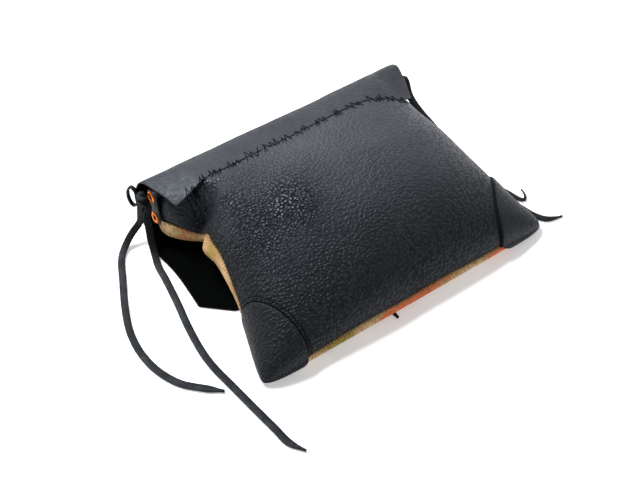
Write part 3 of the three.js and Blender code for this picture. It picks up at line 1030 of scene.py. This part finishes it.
# soft dents and swells that the leather has taken, as pushes with a centre, a reach and a direction
sharedPushes = [
    {"at": (150, 124, 40), "reach": (50, 34, 60), "by": (3, 6, 0)},
    {"at": (-60, 62, 70), "reach": (50, 26, 40), "by": (0, 0, -3)},
]
pouchPushes = [
    {"at": (-125, 56, 52), "reach": (26, 15, 28), "by": (6, -1, -16)},
    {"at": (-99, 22, 70), "reach": (13, 38, 30), "by": (-5, 4, 6)},
    {"at": (-112, 53, 62), "reach": (19, 13, 16), "by": (4, 2, -11)},
    {"at": (-92, 30, 75), "reach": (13, 26, 18), "by": (-5, 4, 5)},
    {"at": (-66, 36, 76), "reach": (16, 34, 30), "by": (0, 0, -2)},
]
frontPushes = [
    {"at": (-132, 84, 6), "reach": (30, 24, 18), "by": (-13, 0, -1)},
    {"at": (-134, 47, 20), "reach": (24, 9, 26), "by": (9, 0, 0)},
    {"at": (-132, 29, 24), "reach": (20, 12, 22), "by": (-4, 0, 0)},
]
crumple = {"seed": 5, "size": 46, "depth": 1.2, "calmHeights": (4, 18), "lowest": 0.1}
noise.seed_set(crumple["seed"])


def settle(point, *pushLists):
    moved = point.copy()
    for push in [*sharedPushes, *(p for pushes in pushLists for p in pushes)]:
        away = [(p - c) / r for p, c, r in zip(point, push["at"], push["reach"])]
        moved += Vector(push["by"]) * math.exp(-sum(a * a for a in away))
    lifted = smoothStep(point.z, *crumple["calmHeights"])
    moved += noise.noise_vector(point / crumple["size"]) * crumple["depth"] * lifted
    moved.z = max(moved.z, crumple["lowest"])
    return moved


def rowToY(row):
    # rows stand closer together near the bottom edge
    rowsBelow = 0.55
    if row < rowsBelow:
        below = math.sin(math.pi / 2 * (1 - row / rowsBelow))
        return pouch["crestY"] - (pouch["crestY"] - pouch["bottomY"]) * below
    return lerp(pouch["crestY"], pouch["mouthY"], (row - rowsBelow) / (1 - rowsBelow))


def pouchSkin(side, u, y, grow=0):
    pushes = (pouchPushes,) if side > 0 else (pouchPushes, frontPushes)
    return settle(skinPoint(side, u, y, grow), *pushes)


def addPanel(name, node, side, material):
    bm = bmesh.new()
    bmesh.ops.create_grid(bm, x_segments=pouch["columns"], y_segments=pouch["rows"], size=1)
    for vert in bm.verts:
        u = math.sin(math.pi / 2 * vert.co.x)
        vert.co = pouchSkin(side, u, rowToY((vert.co.y + 1) / 2)) * mm
    if side < 0:
        bmesh.ops.reverse_faces(bm, faces=bm.faces[:])
    piece = makePiece(name, bm, material, sharpAngle=180)
    thicken(piece, pouch["leather"], -1)
    roundOff(piece)
    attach(piece, "bag")
    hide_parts(node)


addPanel("back_panel_leather", "back_panel", 1, backLeather)
addPanel("front_panel_leather", "front_panel", -1, frontPaint)
print("pouch lofted")


# middle line of the flap, from its sewn edge on the back, round the mouth and under the bag
def flapMiddleLine():
    overBack = flap["lidGap"] + flap["leather"] / 2
    underFront = pouch["gap"] + flap["leather"] / 2
    rise = (pouch["mouthBackHeight"] - pouch["mouthFrontHeight"]) / 2 + overBack
    middle = (pouch["mouthBackHeight"] + pouch["mouthFrontHeight"]) / 2
    points = []
    for share in (1, 0.8, 0.6, 0.4, 0.2, 0):
        y = pouch["mouthY"] - flap["startWidth"] * share
        points.append(Vector((0, y, backPeak(y) + overBack)))
    for angle in (60, 30, 0, -30, -60):
        turn = math.radians(angle)
        y = pouch["mouthY"] + flap["foldReach"] * math.cos(turn)
        points.append(Vector((0, y, middle + rise * math.sin(turn))))
    for share in (0.12, 0.3, 0.5, 0.6, 0.7, 0.85):
        y = pouch["mouthY"] - pouch["drapeFromMouth"] * share
        z = max(frontLow(y), flap["bed"]) - underFront * 2
        points.append(Vector((0, y, max(z, flap["leather"] / 2))))
    flatFrom = pouch["mouthY"] - flap["flatFrom"] * pouch["drapeFromMouth"]
    for share in (0, 0.25, 0.5, 0.75, 1):
        points.append(Vector((0, lerp(flatFrom, flap["endY"], share), flap["leather"] / 2)))
    return evenly(curveThrough(points), flap["lineSpacing"])


flapLine = flapMiddleLine()
flapLength = lineLength(flapLine)
lineStep = flapLength / (len(flapLine) - 1)
foldAt = lineStep * max(range(len(flapLine)), key=lambda i: flapLine[i].y)


def endDroop(x, y):
    freeEnd = flap["leftFreeEnd"] if x < 0 else flap["rightFreeEnd"]
    held = halfWidth(min(y, pouch["mouthY"]), x) - freeEnd
    beyond = max(0, abs(x) - held)
    atY = max(pouch["mouthY"] - flap["startWidth"], min(pouch["mouthY"], y))
    slope = lerp(flap["stripEndSlope"], flap["foldEndSlope"], (atY - flap["stripY"]) / flap["stripWidth"])
    return backHeight(0, atY) - backHeight(max(-held, min(held, x)), atY) + beyond * slope


def sheetPoint(x, along, outward):
    place = max(0, min(1, along / flapLength)) * (len(flapLine) - 1)
    i = min(int(place), len(flapLine) - 2)
    middle = flapLine[i].lerp(flapLine[i + 1], place - i)
    tangent = (flapLine[i + 1] - flapLine[i]).normalized()
    y = middle.y - tangent.z * outward
    z = middle.z + tangent.y * outward
    fade = 1 - smoothStep(along, foldAt, foldAt + pouch["drapeFromMouth"])
    sunk = min(endDroop(x, middle.y) * fade, middle.z - flap["leather"] / 2)
    return Vector((x, y, z - sunk))


def sewnEdge(x):
    # distance along the middle line at which the strip starts
    start, end, dip = flap["leftDip"] if x < 0 else flap["rightDip"]
    return flap["startWidth"] - flap["stripWidth"] - dip * smoothStep(abs(x), start, end)


stripShare = 0.3  # the strip takes the first part of the flap's rows


def skiving(share):
    # share of the leather's thickness that is left near the sewn edge
    return lerp(flap["skivedEdge"], 1, smoothStep(share / stripShare, 0, flap["skivedPart"]))


def flapPoint(across, share):
    fold = flap["leftFold"] if across < 0 else flap["rightFold"]
    if share < stripShare:
        part = share / stripShare
        lower = flap["leftLower"] if across < 0 else flap["rightLower"]
        half = lerp(lower, fold, part)
        if across > 0:
            half = lerp(lower, fold, math.sin(math.pi / 2 * part))
            half -= flap["rightRounding"] * smoothStep(part, flap["roundingFrom"], 1)
        x = half * across
        thinned = (1 - skiving(share)) * flap["leather"] / 2
        return sheetPoint(x, lerp(sewnEdge(x), foldAt, part), -thinned)
    part = (share - stripShare) / (1 - stripShare)
    if across > 0:
        fold -= flap["rightRounding"]
    half = lerp(fold, flap["endWidth"] / 2, part ** flap["widening"])
    if across < 0:
        centre, reach, bulge = flap["leftBulge"]
        half += bulge * math.exp(-((part - centre) / reach) ** 2)
    x = half * across
    atCorner = abs(x) - flap["straightWidth"] / 2
    cut = flap["cornerCut"] * max(0, min(1, 2 * atCorner / (flap["endWidth"] - flap["straightWidth"])))
    return sheetPoint(x, lerp(foldAt, flapLength - cut, part ** flap["rowBend"]), 0)


def addFlap():
    bm = bmesh.new()
    bmesh.ops.create_grid(bm, x_segments=flap["columns"], y_segments=flap["rows"], size=1)
    weights = bm.verts.layers.deform.verify()
    for vert in bm.verts:
        share = (vert.co.y + 1) / 2
        vert[weights][0] = skiving(share)
        point = settle(flapPoint(vert.co.x, share))
        point.z = max(point.z, flap["leather"] / 2)
        vert.co = point * mm
    piece = makePiece("flap_sheet", bm, flapLeather, flapSuede, sharpAngle=180)
    thicken(piece, flap["leather"], 0, innerSlot=1)
    piece.vertex_groups.new(name="skived")
    piece.modifiers["leather"].vertex_group = "skived"
    piece.modifiers["leather"].material_offset_rim = 0
    roundOff(piece)
    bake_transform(piece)
    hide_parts("flap", "flap_back_strip")


addFlap()
print("flap folded")


# hand stitching over the sewn edge: groups of slanting strokes joined by straight runs
stitching = {
    "seed": 11,
    "fromX": -126,
    "toX": 126,
    "radius": 0.46,
    "runRadius": 0.36,
    "strokeAbove": (3.0, 8.5),
    "strokeBelow": (2.0, 6.5),
    "lean": (1.5, 7.0),
    "pitches": (2.4, 3.2, 4.4, 6.5),
    "groups": (2, 4),
    "runs": (3.0, 10.0),
    "runBelow": 0.4,
    "runOverlap": 1,
    "overStrip": 0.15,
    "overBack": 0.3,
    "sections": 6,
    "steps": 6,
}


def threadPlace(x, over):
    # a place on the strip where over is positive, and on the back below its edge
    along = sewnEdge(x) + over
    if over > 0:
        thickness = flap["leather"] * skiving(stripShare * over / (foldAt - sewnEdge(x)))
        return settle(sheetPoint(x, along, thickness - flap["leather"] / 2 + stitching["overStrip"]))
    y = flapLine[int(along / lineStep)].y
    return pouchSkin(1, x / halfWidth(y, x), y, stitching["overBack"])


def addStroke(bm, a, b, radius):
    line = [a.lerp(b, i / stitching["steps"]) for i in range(stitching["steps"] + 1)]
    sweepThread(bm, [threadPlace(p.x, p.y) for p in line], radius, stitching["sections"])


def addStitching():
    draw = random.Random(stitching["seed"])
    bm = bmesh.new()
    x = stitching["fromX"]
    while x < stitching["toX"]:
        for _ in range(draw.randint(*stitching["groups"])):
            top = Vector((x + draw.uniform(*stitching["lean"]), draw.uniform(*stitching["strokeAbove"])))
            foot = Vector((x, -draw.uniform(*stitching["strokeBelow"])))
            x += draw.choice(stitching["pitches"])
            nextFoot = Vector((x, -draw.uniform(*stitching["strokeBelow"])))
            addStroke(bm, foot, top, stitching["radius"])
            addStroke(bm, top, nextFoot, stitching["radius"])
        run = draw.uniform(*stitching["runs"])
        start = Vector((x - stitching["runOverlap"], -stitching["runBelow"]))
        addStroke(bm, start, Vector((x + run, -stitching["runBelow"])), stitching["runRadius"])
        x += run
    piece = makePiece("flap_stitching_thread", toMetres(bm), blackThread, sharpAngle=80)
    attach(piece, "bag")
    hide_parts("flap_stitching")


addStitching()
print("flap stitched")


# corner patches with a raised edge, a dark cord on it as painted shade along the edge, and a stitched line
# outside it
patches = {
    "left": {"handed": -1, "alongBottom": 49, "alongSide": 70, "arc": 1.6, "edgeShadeCord": 0.62, "line": 0.4},
    "right": {"handed": 1, "alongBottom": 60, "alongSide": 68, "arc": 1.85, "edgeShadeCord": 0.9, "line": 0},
}
patchShape = {
    "gap": 0.7,
    "leather": 1.6,
    "frontShare": 0.5,
    "turns": 64,
    "reaches": 22,
    "lineAway": 0.055,
    "lineGap": 0.1,
    "edgeSteps": 48,
    "edgeSpacing": 2.5,
    "edgeSections": 8,
}


def patchPoint(patch, reach, turn, grow):
    side = 1 if turn > -1e-6 else -1
    angle = math.pi / 2 * smoothStep(abs(turn), 0, math.pi)
    under = 1 if side > 0 else lerp(1, patchShape["frontShare"], math.sin(2 * angle))
    y = pouch["bottomY"] + patch["alongSide"] * reach * under * max(0, math.sin(angle)) ** patch["arc"]
    inward = patch["alongBottom"] * reach * under * max(0, math.cos(angle)) ** patch["arc"]
    u = (1 - inward / halfWidth(y, patch["handed"])) * patch["handed"]
    return pouchSkin(side, u, y, grow)


def addPatch(label, patch):
    bm = bmesh.new()
    reaches = patchShape["reaches"]
    spinProfile(bm, [(k / reaches, 0) for k in range(reaches + 1)], patchShape["turns"])
    bmesh.ops.remove_doubles(bm, verts=bm.verts[:], dist=1e-5)
    for vert in bm.verts:
        reach = math.hypot(vert.co.x, vert.co.y)
        turn = math.atan2(vert.co.y, vert.co.x) if reach > 0 else 0
        vert.co = patchPoint(patch, reach, turn, patchShape["gap"] + patchShape["leather"]) * mm
    faceToward(bm, Vector((patch["handed"], -1, 0)))
    piece = makePiece("corner_patch_%s_leather" % label, bm, patchLeather, sharpAngle=180)
    thicken(piece, patchShape["leather"], -1)
    roundOff(piece)
    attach(piece, "bag")
    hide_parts("corner_patch_" + label)


def addPatchEdge(label, patch):
    # a dark cord on the patch's edge, painted shade where the edge meets the back, and where there is one
    # the line of thread outside it
    bm = bmesh.new()
    edgeShadeCord = (1.0, patch["edgeShadeCord"], patchShape["gap"])
    line = (1 + patchShape["lineAway"], patch["line"], patchShape["lineGap"])
    steps = patchShape["edgeSteps"]
    for reach, radius, grow in (edgeShadeCord, line):
        if radius:
            points = [patchPoint(patch, reach, math.pi * i / steps, grow) for i in range(steps + 1)]
            points = evenly(points, patchShape["edgeSpacing"])
            sweepThread(bm, points, radius, patchShape["edgeSections"])
    piece = makePiece("corner_patch_%s_welt" % label, toMetres(bm), blackThread, sharpAngle=80)
    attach(piece, "bag")


for label, patch in patches.items():
    addPatch(label, patch)
    addPatchEdge(label, patch)
print("patches wrapped")


# whip stitches over the seam between the painted front and the back
whip = {
    "pitch": 3.0,
    "length": 3.2,
    "slant": 1.0,
    "radius": 0.5,
    "overBack": 0.9,
    "sections": 5,
    "sectionSide": (0.3, 0.2, 1),
    "sideTo": 84,
    "sideRadius": 0.32,
    "sideOverBack": 0.3,
    "bottomStride": 0.0006,
    "sideStride": 1e-6,
    "mostSteps": 400,
}


def seamWalk(side, u, y, byBottom, distance):
    # a place on the skin at a distance from the seam
    place = pouchSkin(side, u, y)
    walked = 0
    step = 0
    while walked < distance and step < whip["mostSteps"]:
        step += 1
        if byBottom:
            onward = pouchSkin(side, u, y + step * step * whip["bottomStride"])
        else:
            onward = pouchSkin(side, u * (1 - step * step * whip["sideStride"]), y)
        walked += (onward - place).length
        place = onward
    return place


def addWhipStitch(bm, u, y, byBottom):
    radius = whip["radius"] if byBottom else whip["sideRadius"]
    overBack = whip["overBack"] if byBottom else whip["sideOverBack"]
    points = [seamWalk(1, u, y, byBottom, overBack), seamWalk(-1, u, y, byBottom, 0)]
    points += [seamWalk(-1, u, y, byBottom, whip["length"] * share) for share in (0.5, 1)]
    shift = Vector((whip["slant"], 0, 0)) if byBottom else Vector((0, whip["slant"], 0))
    points = [p + shift * i / 3 for i, p in enumerate(points)]
    sweepThread(bm, points, radius, whip["sections"], whip["sectionSide"])


def addWhipping():
    bm = bmesh.new()
    fromX = -pouch["bottomWidth"] / 2 + patches["left"]["alongBottom"]
    toX = pouch["bottomWidth"] / 2 - patches["right"]["alongBottom"]
    for i in range(int((toX - fromX) / whip["pitch"])):
        x = fromX + (i + 0.5) * whip["pitch"]
        addWhipStitch(bm, x / (pouch["bottomWidth"] / 2), pouch["bottomY"], True)
    for patch in patches.values():
        low = pouch["bottomY"] + patch["alongSide"] + whip["pitch"]
        for i in range(int((whip["sideTo"] - low) / whip["pitch"])):
            addWhipStitch(bm, patch["handed"], low + i * whip["pitch"], False)
    piece = makePiece("seam_whip_stitches", toMetres(bm), seamThread, sharpAngle=80)
    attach(piece, "bag")


addWhipping()
print("seams whipped")


# tabs and eyelets at the ends of the mouth
tab = {
    "width": 15,
    "height": 35,
    "leather": 2,
    "spacing": 22,
    "tilt": math.radians(4),
    "lean": math.radians(16),
    "hole": 3.9,
    "cornerSquareness": 5,
    "edgeRounding": 0.35,
    "curl": 0.012,
    "turns": 32,
    "reaches": 5,
}
eyelet = {
    "bore": 2.8,
    "darkDepth": 0.2,
    "barrel": 3.7,
    "flange": 6.2,
    "seat": 1.3,
    "height": 0.9,
    "turns": 40,
}


def tabBasis(handed):
    lean = Matrix.Rotation(-tab["lean"], 3, "X")
    tilt = Matrix.Rotation(-tab["tilt"], 3, "Y")
    turn = lean @ tilt
    hand = Vector((handed, 1, 1))
    up = (turn @ Vector((0, 0, 1))) * hand
    out = (turn @ Vector((1, 0, 0))) * hand
    return Matrix((up.cross(out), up, out)).transposed().to_4x4()


def standAt(bm, node, handed):
    place = Matrix.Translation(nodeCentre(node)) @ tabBasis(handed)
    bmesh.ops.transform(bm, matrix=place, verts=bm.verts[:])
    bmesh.ops.scale(bm, vec=(mm, mm, mm), verts=bm.verts[:])


def addTab(label, handed):
    # half a plate round one hole, mirrored to the other, its sides curled back towards the bag
    bm = bmesh.new()
    spinProfile(bm, [(1 + k, 0) for k in range(tab["reaches"] + 1)], tab["turns"])
    beyond = (tab["height"] - tab["spacing"]) / 2
    for vert in bm.verts:
        reach = (math.hypot(vert.co.x, vert.co.y) - 1) / tab["reaches"]
        turn = math.atan2(vert.co.y, vert.co.x)
        x, y = math.cos(turn), math.sin(turn)
        toSide = tab["width"] / 2 / max(abs(x), 1e-6)
        toEnd = (beyond if y > 0 else tab["spacing"] / 2) / max(abs(y), 1e-6)
        edge = min(toSide, toEnd)
        if y > 0:  # the far corners are rounded
            squareness = tab["cornerSquareness"]
            edge = (toSide ** -squareness + toEnd ** -squareness) ** (-1 / squareness)
        radius = lerp(tab["hole"], edge, reach)
        vert.co = (x * radius, y * radius + tab["spacing"] / 2, 0)
    bmesh.ops.mirror(bm, geom=bm.verts[:] + bm.edges[:] + bm.faces[:], axis="Y", merge_dist=1e-3)
    bmesh.ops.remove_doubles(bm, verts=bm.verts[:], dist=1e-3)
    faceToward(bm, Vector((0, 0, 1)))
    for vert in bm.verts:
        vert.co.z += tab["leather"] / 2 - tab["curl"] * vert.co.x ** 2
    standAt(bm, "side_tab_" + label, handed)
    piece = makePiece("side_tab_%s_leather" % label, bm, tabLeather, sharpAngle=60)
    thicken(piece, tab["leather"], -1)
    rounded = piece.modifiers.new("rounded", "BEVEL")
    rounded.width = tab["edgeRounding"] * mm
    rounded.segments = 2
    rounded.limit_method = "ANGLE"
    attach(piece, "bag")
    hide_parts("side_tab_" + label)


def addEyelet(name, node, handed):
    # a rolled flange, a barrel and a flat washer behind, turned about the hole
    bm = bmesh.new()
    seat, top = eyelet["seat"], eyelet["seat"] + eyelet["height"]
    bore, barrel, flange = eyelet["bore"], eyelet["barrel"], eyelet["flange"]
    profile = [
        (bore, -top), (flange - 0.3, -top), (flange, -seat - 0.3), (flange - 0.3, -seat),
        (barrel, -seat), (barrel, seat), (flange - 0.2, seat), (flange, seat + 0.25),
        (flange - 0.5, top - 0.05), (flange - 1.3, top + 0.15), (bore + 0.8, top),
        (bore + 0.15, top - 0.5), (bore, seat - 0.4),
    ]
    spinProfile(bm, profile, eyelet["turns"], closed=True)
    bmesh.ops.recalc_face_normals(bm, faces=bm.faces[:])
    for face in bm.faces:  # the bore has darkened
        reach = max(math.hypot(v.co.x, v.co.y) for v in face.verts)
        face.material_index = 1 if reach < bore + eyelet["darkDepth"] else 0
    standAt(bm, node, handed)
    piece = makePiece(name, bm, copper, darkCopper, sharpAngle=60)
    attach(piece, "bag")
    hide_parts(node)


for label, handed in (("left", -1), ("right", 1)):
    addTab(label, handed)
    for level in ("upper", "lower"):
        node = "eyelet_%s_%s" % (label, level)
        addEyelet(node + "_ring", node, handed)
print("eyelets set")


# floor, sky and lamps, in metres
studio = {
    "floorSize": 24,
    "floorTone": (0.95, 0.95, 0.955),
    "floorMottle": (3.0, 0.01),
    "floorRough": 0.9,
    "floorGloss": 0.1,
    "floorLift": (0.4, 0.95),
    "liftReach": (0.7, 2.2),
    "skyTone": (1.0, 1.0, 1.0),
    "sky": [(0.0, 1.15), (0.28, 0.95), (0.58, 0.20), (1.0, 0.09)],
    "skyFront": (-0.35, 0.55, 0.25),
    "skyTurn": 0.45,
    "horizon": (0.08, 0.16),
    "lamps": [
        {"name": "backSoftbox", "at": (-0.25, 1.08, 1.58), "size": (1.15, 0.5), "power": 36},
        {"name": "keyPanel", "at": (-0.2, 0.98, 1.74), "size": (0.18, 0.18), "power": 11},
        {"name": "frontFill", "at": (0.5, -1.6, 0.5), "size": (2.6, 1.0), "power": 5},
        {"name": "rightFill", "at": (1.5, 0.3, 1.3), "size": (1.2, 1.2), "power": 4},
    ],
}


def seenRays(tree):
    # camera, mirrored and transmitted rays
    path = addNode(tree, "ShaderNodeLightPath")
    seen = plus(tree, path.outputs["Is Camera Ray"], path.outputs["Is Glossy Ray"], clamp=True)
    return plus(tree, seen, path.outputs["Is Transmission Ray"], clamp=True)


def addFloor():
    bm = bmesh.new()
    bmesh.ops.create_grid(bm, x_segments=1, y_segments=1, size=studio["floorSize"] / 2)
    material, tree, shader = newMaterial("paleFloor")
    scale, paler = studio["floorMottle"]
    mottle = addNode(tree, "ShaderNodeTexNoise", Vector=objectPlace(tree), Scale=scale)
    tone = studio["floorTone"]
    colour = addRamp(tree, mottle.outputs["Fac"], [(0.3, tone), (0.7, tuple(c + paler for c in tone))])
    away = addVectorMath(tree, "DISTANCE", objectPlace(tree), (0, 0, 0)).outputs["Value"]
    lift = addRange(tree, away, *studio["liftReach"], *studio["floorLift"])
    dress(tree, shader, {
        "Base Color": colour,
        "Roughness": studio["floorRough"],
        "Specular IOR Level": studio["floorGloss"],
        "Emission Color": (*studio["skyTone"], 1),
        "Emission Strength": times(tree, seenRays(tree), lift),
    })
    floor = makePiece("floor", bm, material)


def addSky():
    # white round the horizon like a paper backdrop, dim overhead and dimmer at the front
    world = bpy.data.worlds.new("studio")
    scene.world = world
    world.use_nodes = True
    tree = world.node_tree
    sky = tree.nodes["Background"]
    sky.inputs["Color"].default_value = (*studio["skyTone"], 1)
    outward = addNode(tree, "ShaderNodeTexCoord").outputs["Generated"]
    toward = addNode(tree, "ShaderNodeSeparateXYZ", Vector=outward)
    low, high, share = studio["skyFront"]
    turned = times(tree, toward.outputs["X"], studio["skyTurn"])
    facing = plus(tree, toward.outputs["Y"], turned)
    behind = addRange(tree, facing, low, high, share, 1.0)
    horizon = addRange(tree, toward.outputs["Z"], *studio["horizon"], 1.0, 0.0)
    behind = addMath(tree, "MAXIMUM", behind, horizon)
    strength = times(tree, addRamp(tree, toward.outputs["Z"], studio["sky"]), behind)
    tree.links.new(strength, sky.inputs["Strength"])


def addLamp(lamp):
    data = bpy.data.lights.new(lamp["name"], "AREA")
    data.shape = "RECTANGLE"
    data.size, data.size_y = lamp["size"]
    data.energy = lamp["power"]
    light = bpy.data.objects.new(lamp["name"], data)
    light.location = lamp["at"]
    light.rotation_euler = Vector(lamp["at"]).to_track_quat("Z", "Y").to_euler()
    scene.collection.objects.link(light)


addFloor()
addSky()
for lamp in studio["lamps"]:
    addLamp(lamp)
scene.view_settings.view_transform = "Standard"
print("studio lit")
